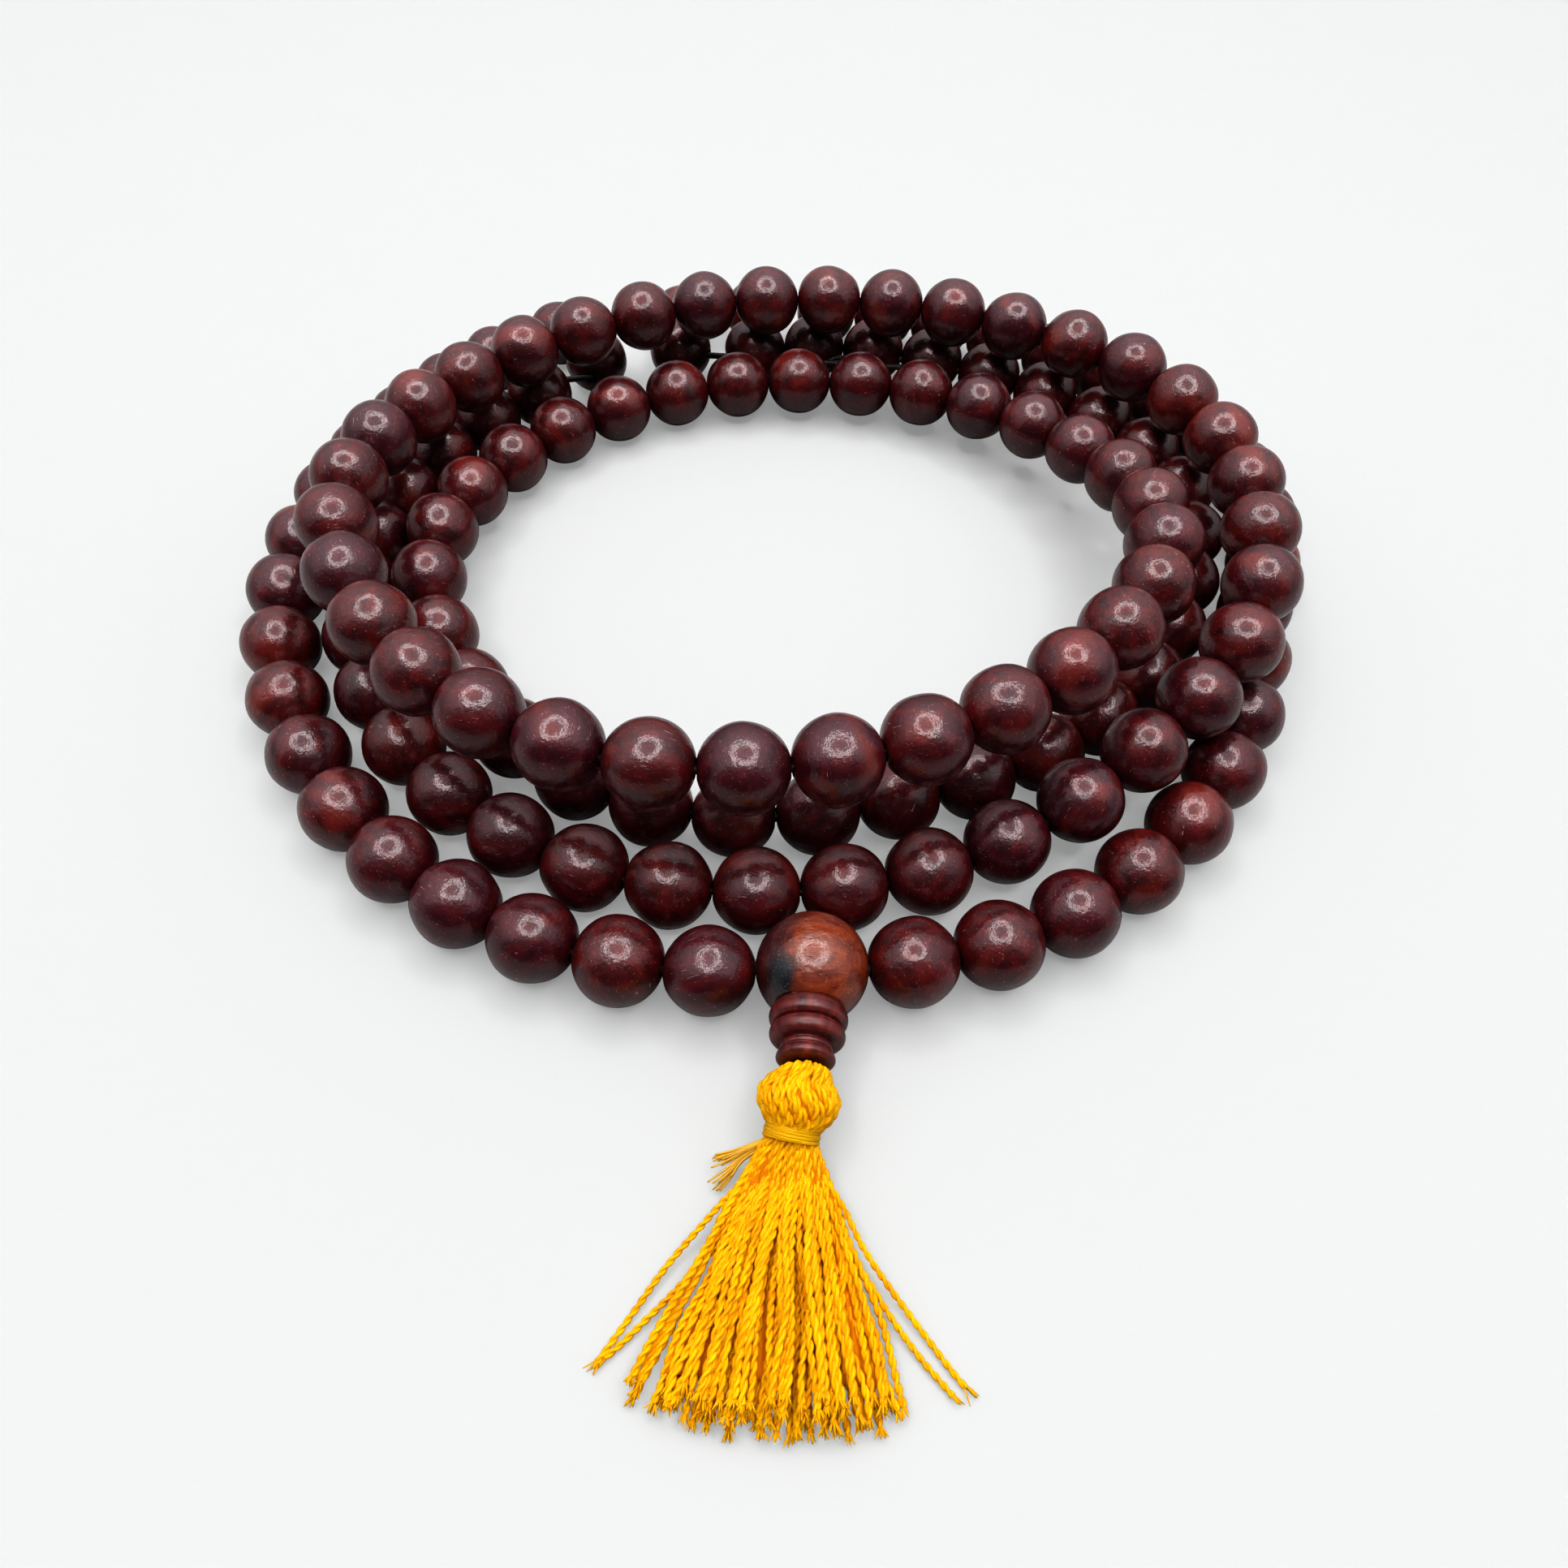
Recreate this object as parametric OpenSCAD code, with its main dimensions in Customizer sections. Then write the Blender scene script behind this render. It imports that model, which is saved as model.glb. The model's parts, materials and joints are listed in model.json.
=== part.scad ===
// Mala: a loop of turned wooden counting beads on one cord, closed by a larger
// three-hole guru bead with a turned cap and a thread tassel. It lies coiled in
// four turns on a flat surface. Millimetres, +Z up, origin at the bottom centre.

/* [Beads] */
// Diameter of a counting bead
bead_d = 8; // [7.8:0.05:8]
// Diameter of the hole through a counting bead
bead_bore_d = 1.6; // [1.4:0.1:1.8]
// Distance between the centres of neighbouring beads along the cord
bead_pitch = 8.1; // [8.09:0.005:8.11]
// Beads from the guru bead to the fold of the hidden turn, going right
right_beads = 22; // [20:1:22]
// Beads from the guru bead to the same fold, going left
left_beads = 115; // [113:1:115]

/* [Guru bead and cap] */
// Diameter of the guru bead
guru_d = 9.8; // [9.4:0.1:9.8]
// Diameter of the guru bead's hole from side to side
guru_bore_d = 1.8; // [1.6:0.1:1.9]
// Diameter of the guru bead's third hole, which opens at the cap
guru_neck_bore_d = 2.4; // [2.2:0.1:2.6]
// Diameter of the cap's widest tier
cap_d = 6.7; // [6.4:0.1:6.8]
// Length of the cap along its axis
cap_len = 5; // [4.8:0.1:5.2]
// Upward slope of the cap's axis
cap_slope = 3; // [2:0.5:4]
// Direction of the cap's axis on the surface, from straight ahead
cap_heading = -3; // [-4:0.5:-2]

/* [Cord] */
// Diameter of the stringing cord
cord_d = 0.8; // [0.6:0.1:0.8]

/* [Tassel] */
// Widest diameter of the folded thread head
head_d = 6.4; // [6:0.1:6.5]
// Length from the cap's mouth to the binding
head_len = 4.4; // [4.2:0.1:4.6]
// Diameter of the bound neck
neck_d = 4; // [3.8:0.1:4.2]
// Length of the binding
binding_len = 1.6; // [1.4:0.1:1.8]
// Diameter of the tassel thread
thread_d = 0.5; // [0.4:0.05:0.55]
// Length of the skirt beyond the binding
skirt_len = 20.4; // [20:0.1:20.8]
// Width of the skirt at its cut end
skirt_w = 21; // [20:0.5:22]
// Thickness of the skirt at its cut end
skirt_t = 2.4; // [2:0.1:2.6]
// Direction of the tassel's head on the surface, from straight ahead
head_heading = -11; // [-12:0.5:-10]
// Downward slope of the tassel's head
head_slope = 24; // [23:0.5:25]
// Direction of the skirt on the surface, from straight ahead
skirt_heading = -1.5; // [-3:0.5:0]

/* [Hidden] */
bead_r = bead_d / 2;
guru_r = guru_d / 2;
bead_count = right_beads + left_beads;
// The seam between guru bead and cap is flat, with a thin running clearance
seat_gap = 0.06;
seat_at = 0.8 * guru_r;
// Distance from the guru bead's centre to the cap's mouth
mouth_at = seat_at + seat_gap + cap_len;
knot_r = 1;
knot_at = mouth_at + 0.55;
cord_sides = 8;
cord_inset = 0.02;
// Beads spread apart at the folds, where the cord has to turn between them
FOLD_GAPS = [right_beads - 2, right_beads - 1, right_beads + 1, bead_count - 18, bead_count - 16];
fold_room = 2;
fold_reach = 0.3;
$fn = 48;

wood = "#4a1712";
guru_wood = "#8a3a1c";
cap_wood = "#51201d";
cord_black = "#1b1718";
thread_yellow = "#e6a50f";

// Strand route: [turn angle, radius, height]. The angle is 0 at the front and
// grows to the right; it passes 90 at the right, 180 at the back and -90 at the
// left. The strand folds back on itself twice, so the angle runs both ways.
ROUTE = [
    // guru bead and the front row to its right
    [5.5, 47.3, guru_r], [30, 48.9, 4], [60, 50.8, 4], [75, 51.6, 4], [90, 53.5, 4],
    // outer strand on the surface, round the back
    [105, 59.5, 4], [120, 62, 4], [150, 58.5, 4], [180, 55.6, 4], [196, 55.6, 4],
    // first fold
    [199.7, 50.1, 4],
    // inner strand on the surface, back to the right side
    [193.3, 45.9, 4], [180, 47.2, 4], [150, 50, 4], [120, 53.4, 4], [105, 50, 4], [90, 44.6, 4],
    // shaded row under the top row
    [75, 41.2, 4], [60, 36.8, 4], [30, 31.2, 4], [0, 30.7, 4], [-30, 32.6, 4], [-60, 35.3, 5],
    // innermost row round the left and back, climbing at the right
    [-90, 38.4, 6.4], [-120, 39.2, 4.5], [-150, 38.6, 4], [-180, 38.6, 4.5],
    [-210, 40.3, 5.5], [-240, 41, 9], [-270, 40.2, 14.4],
    // top row at the front
    [-300, 36.3, 16.8], [-330, 33.9, 17], [-360, 34.6, 17], [-390, 37.7, 17],
    [-420, 41.6, 16.5], [-450, 45.6, 15.4],
    // upper row round the back
    [-480, 46, 12.4], [-510, 44.3, 12.1], [-540, 45.1, 12.1], [-570, 49, 12.1],
    [-600, 54, 12.5], [-630, 51, 13.3],
    // coming down into the middle row at the front
    [-645, 48.5, 12], [-660, 44.5, 9.6], [-675, 41.8, 7], [-690, 39.9, 4.6],
    [-720, 39, 4], [-750, 41.2, 4], [-780, 43.8, 4],
    // under the upper row at the left
    [-810, 46.3, 4], [-840, 47.6, 4], [-865.6, 47.7, 4],
    // second fold
    [-868.7, 52.1, 4],
    // front row from the left up to the guru bead
    [-868, 57.6, 4], [-840, 56.2, 4], [-810, 54.6, 4], [-780, 52.1, 4], [-750, 49.6, 4],
    [-730, 47.9, 4],
];
// Two whole turns lie between the route's end and its start
ROUTE_CLOSE = [-720, 0, 0];
ROUTE_STEPS = 12;

// --- Route, bead places and bead directions ---
function unit(v) = v / norm(v);
function reverse(list) = [for (i = [len(list) - 1:-1:0]) list[i]];
function station(i) =
    let (n = len(ROUTE), lap = floor(i / n)) ROUTE[i - lap * n] + lap * ROUTE_CLOSE;
function catmull(a, b, c, d, t) =
    (2 * b + (c - a) * t + (2 * a - 5 * b + 4 * c - d) * t * t + (3 * b - a - 3 * c + d) * t * t * t) / 2;
function place(s) = [s[1] * sin(s[0]), -s[1] * cos(s[0]), max(bead_r, s[2])];
strand = [
    for (i = [0:len(ROUTE) - 1])
        for (k = [0:ROUTE_STEPS - 1])
            place(catmull(station(i - 1), station(i), station(i + 1), station(i + 2), k / ROUTE_STEPS)),
    place(ROUTE[0]),
];

// Point at distance d from p on the segment a to b, where a is nearer than d
function crossing(a, b, p, d) =
    let (u = b - a, w = a - p, qa = u * u, qb = 2 * (u * w), qc = w * w - d * d)
    a + u * (-qb + sqrt(max(0, qb * qb - 4 * qa * qc))) / (2 * qa);
// Next place on the path at distance d from p, as [place, segment]
function next_place(path, p, seg, d) =
    seg + 1 >= len(path) ? [p, seg] :
    norm(path[seg + 1] - p) < d ? next_place(path, p, seg + 1, d) :
    [crossing(path[seg], path[seg + 1], p, d), seg];
// Gap n lies between bead n and bead n + 1
function is_wide(n) = len(search(n, FOLD_GAPS)) > 0;
function pitch(n) = bead_pitch + (is_wide(n) ? fold_room : 0);
function walk(path, count, from_left) =
    [for (i = 0, s = next_place(path, path[0], 0, guru_r + bead_pitch - bead_r);
          i < count;
          i = i + 1, s = next_place(path, s[0], s[1], pitch(from_left ? bead_count - i : i))) s[0]];

guru_at = place(ROUTE[0]);
BEADS = concat(walk(strand, right_beads, false),
               reverse(walk(reverse(strand), left_beads, true)));
STRUNG = concat([guru_at], BEADS, [guru_at]);
// Direction of bead n's hole, for n from 1
function bead_axis(n) = unit(STRUNG[n + 1] - STRUNG[n - 1]);

// --- Frame: origin at the bottom centre of everything but the loose threads ---
// Unit vector along a heading on the surface, rising by slope
function heading_axis(heading, slope) =
    [sin(heading) * cos(slope), -cos(heading) * cos(slope), sin(slope)];
cap_axis = heading_axis(cap_heading, cap_slope);
cap_side = [cos(cap_heading), sin(cap_heading), 0];
head_axis = heading_axis(head_heading, -head_slope);
skirt_axis = heading_axis(skirt_heading, 0);
skirt_side = [cos(skirt_heading), sin(skirt_heading), 0];
knot_place = guru_at + knot_at * cap_axis;
binding_at = head_len;
skirt_from = binding_at + binding_len;
skirt_place = knot_place + (skirt_from + 0.05) * head_axis;
low_x = min([for (b = BEADS) b[0]]) - bead_r;
high_x = max([for (b = BEADS) b[0]]) + bead_r;
high_y = max([for (b = BEADS) b[1]]) + bead_r;
low_y = skirt_place[1] + skirt_len * skirt_axis[1];
frame_shift = [-(low_x + high_x) / 2, -(low_y + high_y) / 2, 0];

// --- Node names: loose-turning beads have a node each, the rest are in runs ---
function digits(n) = str(n < 100 ? "0" : "", n < 10 ? "0" : "", n);
SINGLE_BEADS = concat([for (n = [1:8]) n], [for (n = [65:79]) n],
                      [for (n = [bead_count - 7:bead_count]) n]);
BEAD_RUNS = [[9, 18], [19, 27], [28, 36], [37, 45], [46, 54], [55, 64], [80, 88], [89, 97],
             [98, 105], [106, 113], [114, 121], [122, bead_count - 8]];
function single_name(n) = str("bead_", digits(n));
function run_name(run) = str("beads_", digits(run[0]), "_to_", digits(run[1]));

// --- Building blocks ---
// Turns +Z to point along v
module along(v) {
    rotate([0, acos(v[2] / norm(v)), atan2(v[1], v[0])]) children();
}

module on_cap_axis() {
    translate(guru_at) along(cap_axis) children();
}

module on_tassel_axis() {
    translate(knot_place) along(head_axis) children();
}

// Tube of round section along a list of points, closed at both ends
module tube(points, d, sides) {
    last = len(points) - 1;
    rings = [
        for (i = [0:last])
            let (
                t = unit(points[min(i + 1, last)] - points[max(i - 1, 0)]),
                side = unit(cross(t, [0, 0, 1])),
                up = cross(side, t)
            )
            for (k = [0:sides - 1])
                points[i] + d / 2 * (cos(360 * k / sides) * side + sin(360 * k / sides) * up)
    ];
    walls = [
        for (i = [0:last - 1], k = [0:sides - 1])
            let (a = i * sides + k, b = i * sides + (k + 1) % sides)
            for (f = [[a, a + sides, b], [b, a + sides, b + sides]]) f
    ];
    start_cap = [for (k = [0:sides - 1]) k];
    end_cap = [for (k = [sides - 1:-1:0]) last * sides + k];
    polyhedron(points = rings, faces = concat(walls, [start_cap, end_cap]));
}

// --- Beads ---
module bead(n) {
    color(wood)
        translate(BEADS[n - 1])
            along(bead_axis(n))
                difference() {
                    sphere(r = bead_r);
                    cylinder(h = 2 * bead_d, d = bead_bore_d, center = true);
                }
}

module bead_run(run) {
    for (n = [run[0]:run[1]]) bead(n);
}

// The guru bead has a hole from side to side and a third one down to the cap
module guru_bead() {
    color(guru_wood)
        on_cap_axis()
            difference() {
                sphere(r = guru_r);
                cylinder(h = guru_d, d = guru_neck_bore_d);
                translate([0, 0, seat_at]) cylinder(h = guru_r, r = guru_r);
                rotate([90, 0, 0]) cylinder(h = 2 * guru_d, d = guru_bore_d, center = true);
            }
}

// --- Cap: tiers with half-round rims on a core, [start, thickness, radius] ---
CAP_TIERS = [[0, 0.33, 0.5], [0.36, 0.27, 0.48], [0.66, 0.11, 0.33], [0.79, 0.21, 0.37]];
cap_core_r = 0.29 * cap_d;
cap_bore_r = 1.15;
cap_mouth_r = 1.65;
cap_mouth_depth = 1;

module guru_cap() {
    color(cap_wood)
        on_cap_axis() translate([0, 0, seat_at + seat_gap])
            difference() {
                rotate_extrude() {
                    square([cap_core_r, cap_len]);
                    for (tier = CAP_TIERS) cap_tier(tier);
                }
                translate([0, 0, -1]) cylinder(h = cap_len + 2, r = cap_bore_r);
                translate([0, 0, cap_len - cap_mouth_depth])
                    cylinder(h = cap_mouth_depth + 0.01, r1 = cap_bore_r, r2 = cap_mouth_r);
            }
}

module cap_tier(tier) {
    thick = tier[1] * cap_len;
    rim_r = thick / 2;
    out = tier[2] * cap_d - rim_r;
    translate([0, tier[0] * cap_len]) square([out, thick]);
    translate([out, tier[0] * cap_len + rim_r]) circle(r = rim_r);
}

// --- Cord ---
// The cord runs along the axis of every hole and bends in the gaps between beads
guru_hole_end = guru_r - cord_inset;
function straight_to(n, side) =
    bead_r + (is_wide(side > 0 ? n : n - 1) ? fold_reach : -cord_inset);
cord_points = concat(
    [guru_at + 0.7 * cap_side, guru_at + guru_hole_end * cap_side],
    [for (n = [1:bead_count], side = [-1, 1])
        BEADS[n - 1] + side * straight_to(n, side) * bead_axis(n)],
    [guru_at - guru_hole_end * cap_side, guru_at - 0.7 * cap_side]);

module stringing_cord() {
    color(cord_black) tube(cord_points, cord_d, cord_sides);
}

// Both ends of the cord go down through the cap side by side
ends_from = cord_d;
ends_len = knot_at - knot_r - 0.1 - ends_from;
ends_spread = 0.55 * cord_d;

module cord_ends() {
    color(cord_black)
        on_cap_axis()
            for (side = [-1, 1])
                translate([0, side * ends_spread, ends_from]) cylinder(h = ends_len, d = cord_d);
}

// The knot joins the cord to the folded thread, at the point where the tassel flexes
module end_knot() {
    color(cord_black) translate(knot_place) sphere(r = knot_r);
}

// --- Tassel ---
knot_room = knot_r + 0.12;
head_start = 0.35;
neck_r = neck_d / 2;

// The head swells like an onion from the cap's mouth and narrows to the neck
head_start_r = 1.2;

function head_radius(t) =
    (1 - t) * head_start_r + t * neck_r
        + sin(180 * pow(t, 0.85)) * (head_d - head_start_r - neck_r) / 2;

module tassel_head() {
    steps = 14;
    span = head_len - head_start;
    outline = [for (i = [0:steps]) [head_radius(i / steps), head_start + span * i / steps]];
    color(thread_yellow)
        on_tassel_axis()
            difference() {
                rotate_extrude()
                    polygon(concat([[0, head_start]], outline,
                                   [[neck_r, skirt_from], [0, skirt_from]]));
                sphere(r = knot_room);
            }
}

BINDING_WRAPS = 5;

module tassel_binding() {
    wrap_step = (binding_len - thread_d) / (BINDING_WRAPS - 1);
    wrap_r = thread_d / 2;
    inner_r = neck_r + 0.03;
    color(thread_yellow)
        on_tassel_axis() translate([0, 0, binding_at])
            rotate_extrude() {
                translate([inner_r, wrap_r]) square([wrap_r, binding_len - thread_d]);
                for (i = [0:BINDING_WRAPS - 1])
                    translate([inner_r + wrap_r, wrap_r + i * wrap_step]) circle(r = wrap_r);
            }
}

// The skirt is a flattened bundle that bends down to the surface as it fans out
SKIRT_RINGS = 12;
SKIRT_SIDES = 24;
skirt_rest = skirt_t / 2 + 0.03;
skirt_bend = skirt_len * tan(head_slope) / (skirt_place[2] - skirt_rest);

function skirt_height(t) = skirt_rest + (skirt_place[2] - skirt_rest) * pow(1 - t, skirt_bend);
function skirt_ring(t) =
    let (
        centre = skirt_place + t * skirt_len * skirt_axis,
        height = skirt_height(t),
        slope = head_slope * pow(1 - t, skirt_bend - 1),
        heading = skirt_heading + (head_heading - skirt_heading) * pow(1 - t, skirt_bend),
        side = [cos(heading), sin(heading), 0],
        up = cos(slope) * [0, 0, 1] + sin(slope) * heading_axis(heading, 0),
        half_w = neck_r + (skirt_w / 2 - neck_r) * pow(t, 0.85),
        half_t = min(neck_r + (skirt_t / 2 - neck_r) * pow(t, 0.8), height - 0.03)
    )
    [for (k = [0:SKIRT_SIDES - 1])
        let (a = 360 * k / SKIRT_SIDES)
        [centre[0], centre[1], height] + half_w * cos(a) * side + half_t * sin(a) * up];

module tassel_skirt() {
    rings = [for (i = [0:SKIRT_RINGS]) skirt_ring(pow(i / SKIRT_RINGS, 1.3))];
    walls = [
        for (i = [0:SKIRT_RINGS - 1], k = [0:SKIRT_SIDES - 1])
            let (a = i * SKIRT_SIDES + k, b = i * SKIRT_SIDES + (k + 1) % SKIRT_SIDES)
            for (f = [[a, b, a + SKIRT_SIDES], [b, b + SKIRT_SIDES, a + SKIRT_SIDES]]) f
    ];
    near_cap = [for (k = [SKIRT_SIDES - 1:-1:0]) k];
    far_cap = [for (k = [0:SKIRT_SIDES - 1]) SKIRT_RINGS * SKIRT_SIDES + k];
    color(thread_yellow)
        polyhedron(points = [for (ring = rings) each ring],
                   faces = concat(walls, [near_cap, far_cap]));
}

// Loose threads, as [across, ahead of the knot, height] in the skirt's heading
TAIL_LONG = [[-3.6, 5.1, 2.8], [-4.6, 5.4, 2.2], [-6, 5.9, 1.5], [-7.4, 6.5, 1.1]];
TAIL_SHORT = [[-3.7, 6, 2], [-4.8, 6.8, 1.3], [-6, 7.8, 0.7], [-7.2, 8.8, 0.4]];
STRAY_LEFT_OUTER = [[-5.5, 9.4, 1.4], [-7.6, 12.2, 0.6], [-9.8, 15.4, 0.4], [-12.4, 19.4, 0.4],
                    [-14.9, 22.4, 0.4]];
STRAY_LEFT_INNER = [[-7.9, 14.2, 0.6], [-9.4, 16.6, 0.4], [-11.6, 19.8, 0.4], [-14, 23, 0.4]];
STRAY_RIGHT_OUTER = [[5.7, 11.2, 1.2], [7.6, 14, 0.6], [10, 17.8, 0.4], [13.4, 22.8, 0.4]];
STRAY_RIGHT_INNER = [[8, 15.6, 0.6], [9.6, 18.4, 0.4], [12.4, 23.2, 0.4]];

function loose(p) =
    let (q = knot_place + p[0] * skirt_side + p[1] * skirt_axis) [q[0], q[1], p[2]];

module loose_thread(points) {
    color(thread_yellow) tube([for (p = points) loose(p)], thread_d, cord_sides);
}

module in_frame() {
    translate(frame_shift) children();
}

in_frame() stringing_cord();
in_frame() guru_bead();
in_frame() guru_cap();
in_frame() cord_ends();
in_frame() end_knot();
in_frame() tassel_head();
in_frame() tassel_binding();
in_frame() tassel_skirt();
in_frame() loose_thread(TAIL_LONG);  // binding_tail_long
in_frame() loose_thread(TAIL_SHORT);  // binding_tail_short
in_frame() loose_thread(STRAY_LEFT_OUTER);  // stray_thread_left_outer
in_frame() loose_thread(STRAY_LEFT_INNER);  // stray_thread_left_inner
in_frame() loose_thread(STRAY_RIGHT_OUTER);  // stray_thread_right_outer
in_frame() loose_thread(STRAY_RIGHT_INNER);  // stray_thread_right_inner
for (n = SINGLE_BEADS)
    in_frame() bead(n);
for (run = BEAD_RUNS)
    in_frame() bead_run(run);
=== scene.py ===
import json
import math
import random

import bpy
from mathutils import Matrix, Vector, noise


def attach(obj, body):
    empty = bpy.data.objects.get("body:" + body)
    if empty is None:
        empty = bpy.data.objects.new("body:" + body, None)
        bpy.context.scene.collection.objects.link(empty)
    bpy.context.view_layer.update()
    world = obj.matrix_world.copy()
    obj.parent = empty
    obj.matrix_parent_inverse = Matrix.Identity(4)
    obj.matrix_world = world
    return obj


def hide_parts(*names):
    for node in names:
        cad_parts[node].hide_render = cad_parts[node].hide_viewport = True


MM = 0.001
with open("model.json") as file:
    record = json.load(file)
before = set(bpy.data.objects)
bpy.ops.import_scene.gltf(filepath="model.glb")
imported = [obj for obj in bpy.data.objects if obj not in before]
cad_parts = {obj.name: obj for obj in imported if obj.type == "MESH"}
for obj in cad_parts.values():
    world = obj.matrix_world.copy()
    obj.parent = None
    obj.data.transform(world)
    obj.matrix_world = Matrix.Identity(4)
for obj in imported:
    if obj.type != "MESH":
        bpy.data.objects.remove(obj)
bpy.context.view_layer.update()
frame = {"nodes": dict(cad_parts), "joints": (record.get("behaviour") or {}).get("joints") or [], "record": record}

# ---------------------------------------------------------------- camera
# The view looks down at the coil from the tassel's side, close enough for strong perspective.
CAM_AT = Vector((0.0001, -0.0806, 0.0937))
CAM_DOWN = 54.0
CAM_ROLL = 2.08
LENS = 25.9
cam_data = bpy.data.cameras.new("camera")
cam_data.sensor_width = 36.0
cam_data.lens = LENS
cam_data.clip_start = 0.001
cam_data.clip_end = 20.0
camera = bpy.data.objects.new("camera", cam_data)
bpy.context.scene.collection.objects.link(camera)
camera.matrix_world = (Matrix.Translation(CAM_AT)
                       @ Matrix.Rotation(math.radians(90.0 - CAM_DOWN), 4, "X")
                       @ Matrix.Rotation(math.radians(CAM_ROLL), 4, "Z"))
bpy.context.scene.camera = camera


# ---------------------------------------------------------------- mesh helpers
def new_object(name, verts, faces, material, uvs=None):
    mesh = bpy.data.meshes.new(name)
    mesh.from_pydata([tuple(v) for v in verts], [], faces)
    mesh.validate()
    if uvs:
        layer = mesh.uv_layers.new(name="along")
        for loop in mesh.loops:
            layer.data[loop.index].uv = uvs[loop.vertex_index]
    for poly in mesh.polygons:
        poly.use_smooth = True
    mesh.materials.append(material)
    obj = bpy.data.objects.new(name, mesh)
    bpy.context.scene.collection.objects.link(obj)
    return obj


def add(name, verts, faces, material, body, nodes=(), place=None, uvs=None):
    """One visible piece, in place and riding on its CAD body."""
    obj = new_object(name, verts, faces, material, uvs)
    if place is not None:
        obj.matrix_world = place
    bpy.context.view_layer.update()
    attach(obj, body)
    if nodes:
        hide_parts(*nodes)
    return obj


def smoothstep(a, b, x):
    """0 below a, 1 above b and a soft rise between."""
    t = min(1.0, max(0.0, (x - a) / (b - a)))
    return t * t * (3 - 2 * t)


def frame_to(direction):
    """Rotation that turns +Z to direction, keeping +X close to the row's X."""
    z = direction.normalized()
    x = Vector((1, 0, 0)) - z * z.x
    if x.length < 0.05:
        x = Vector((0, 1, 0)) - z * z.y
    x.normalize()
    y = z.cross(x)
    return Matrix((x, y, z)).transposed().to_4x4()


def catmull(points, per=8):
    """Smooth curve through the points."""
    pts = [2 * points[0] - points[1]] + list(points) + [2 * points[-1] - points[-2]]
    out = []
    for i in range(1, len(pts) - 2):
        a, b, c, d = pts[i - 1], pts[i], pts[i + 1], pts[i + 2]
        for k in range(per):
            t = k / per
            out.append(0.5 * (2 * b + (c - a) * t + (2 * a - 5 * b + 4 * c - d) * t * t
                              + (3 * b - a - 3 * c + d) * t * t * t))
    out.append(points[-1].copy())
    return out


def resample(path, step):
    """Points about a step apart along the path, and the path's length."""
    total = sum((b - a).length for a, b in zip(path, path[1:]))
    count = max(3, int(round(total / step)))
    out, want, gone = [path[0].copy()], total / count, 0.0
    spot = want
    for a, b in zip(path, path[1:]):
        seg = (b - a).length
        while seg > 0 and gone + seg >= spot - 1e-12 and len(out) < count:
            out.append(a.lerp(b, (spot - gone) / seg))
            spot += want
        gone += seg
    out.append(path[-1].copy())
    return out, total


def carried_frames(path):
    """Tangent, normal and binormal at each point, carried along without spinning."""
    last = len(path) - 1
    tangents = [(path[min(i + 1, last)] - path[max(i - 1, 0)]).normalized()
                for i in range(last + 1)]
    normal = tangents[0].orthogonal().normalized()
    frames = []
    for t in tangents:
        normal = (normal - t * normal.dot(t)).normalized()
        frames.append((t, normal, t.cross(normal)))
    return frames


class Tubes:
    """Collects many tubes into one mesh."""

    def __init__(self):
        self.verts, self.faces, self.uvs = [], [], []

    def tube(self, centres, frames, radii, sides, along):
        """One round tube; along is the length so far at each centre, for the material."""
        base = len(self.verts)
        for (c, (_, n, b), r, s) in zip(centres, frames, radii, along):
            for k in range(sides):
                a = 2 * math.pi * k / sides
                self.verts.append(c + r * (math.cos(a) * n + math.sin(a) * b))
                self.uvs.append((abs(2.0 * k / sides - 1.0), s))
        rings = len(centres)
        for i in range(rings - 1):
            for k in range(sides):
                p = base + i * sides + k
                q = base + i * sides + (k + 1) % sides
                self.faces.append((p, q, q + sides, p + sides))
        self.faces.append(tuple(base + k for k in reversed(range(sides))))
        self.faces.append(tuple(base + (rings - 1) * sides + k for k in range(sides)))

    def thread(self, path, rng, ply_r, lay_r, pitch, plies=2, sides=6, per_turn=10):
        """A plied thread: plies wound round the path. Sizes are in millimetres."""
        points, total = resample(path, pitch / per_turn * MM)
        frames = carried_frames(points)
        phase = rng.uniform(0, 2 * math.pi)
        offset = rng.uniform(0, 50)
        step = total / (len(points) - 1)
        for j in range(plies):
            centres, radii, along = [], [], []
            for i, (p, (_, n, b)) in enumerate(zip(points, frames)):
                s = i * step / MM
                a = phase + 2 * math.pi * (s / pitch + j / plies)
                swell = 1 + 0.08 * noise.noise(Vector((s * 0.9, offset, j)))
                centres.append(p + MM * lay_r * (math.cos(a) * n + math.sin(a) * b))
                radii.append(MM * ply_r * swell)
                along.append(s + offset)
            self.tube(centres, frames, radii, sides, along)
        return points[-1], frames[-1][0]

    def tuft(self, at, direction, rng, fibres, length, spread, r):
        """The frayed end of a thread: fine fibres that splay."""
        rot = frame_to(direction).to_3x3()
        for _ in range(fibres):
            a = rng.uniform(0, 2 * math.pi)
            open_by = spread * math.sqrt(rng.uniform(0.05, 1))
            long = length * rng.uniform(0.55, 1.15)
            side = rot @ Vector((math.cos(a), math.sin(a), 0))
            curl = rng.uniform(-0.3, 0.5)
            path = []
            for i in range(5):
                t = i / 4
                p = at + MM * (direction * long * (t - 0.25)
                               + side * (0.06 + long * open_by * t * (1 + curl * t)))
                p.z = max(p.z, r * MM)
                path.append(p)
            self.tube(path, carried_frames(path), [MM * r * f for f in (1, 1, 0.95, 0.8, 0.35)],
                      4, [i * 0.2 + a for i in range(5)])

    def make(self, name, material, body, slot, nodes=()):
        return add(name, self.verts, self.faces, material, body, nodes, uvs=self.uvs)


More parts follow.
